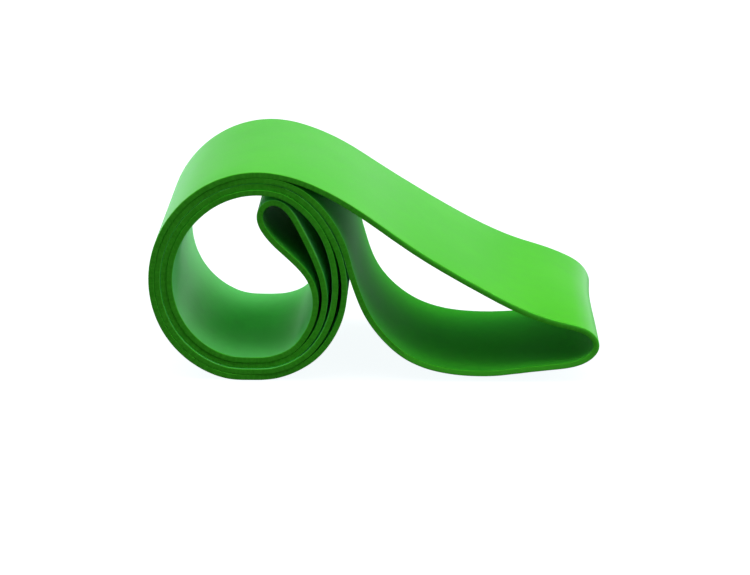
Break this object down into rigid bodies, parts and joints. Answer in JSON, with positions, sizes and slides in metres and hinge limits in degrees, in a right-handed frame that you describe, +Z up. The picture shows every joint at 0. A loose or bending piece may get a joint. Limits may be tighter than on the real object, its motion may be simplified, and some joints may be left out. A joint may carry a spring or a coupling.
{
  "type": "resistance band",
  "caption": "Flat endless loop band of green rubber for leg and arm exercises, folded double and rolled up for storage, with its last loop standing open beside the roll.",
  "frame": {"origin": "under the middle of the object's bounding box, on the surface it lies on", "axes": "+X from the roll towards the free loop, +Y across the band's width (the front cut edge is at -Y), +Z up"},
  "size_m": [0.0882, 0.05, 0.042],
  "materials": {
    "green_latex": "smooth satin rubber sheet with a thin powdery bloom; cut edges darker and matt"
  },
  "bodies": {
    "root": {"loop_band": "green_latex"}
  },
  "joints": []
}
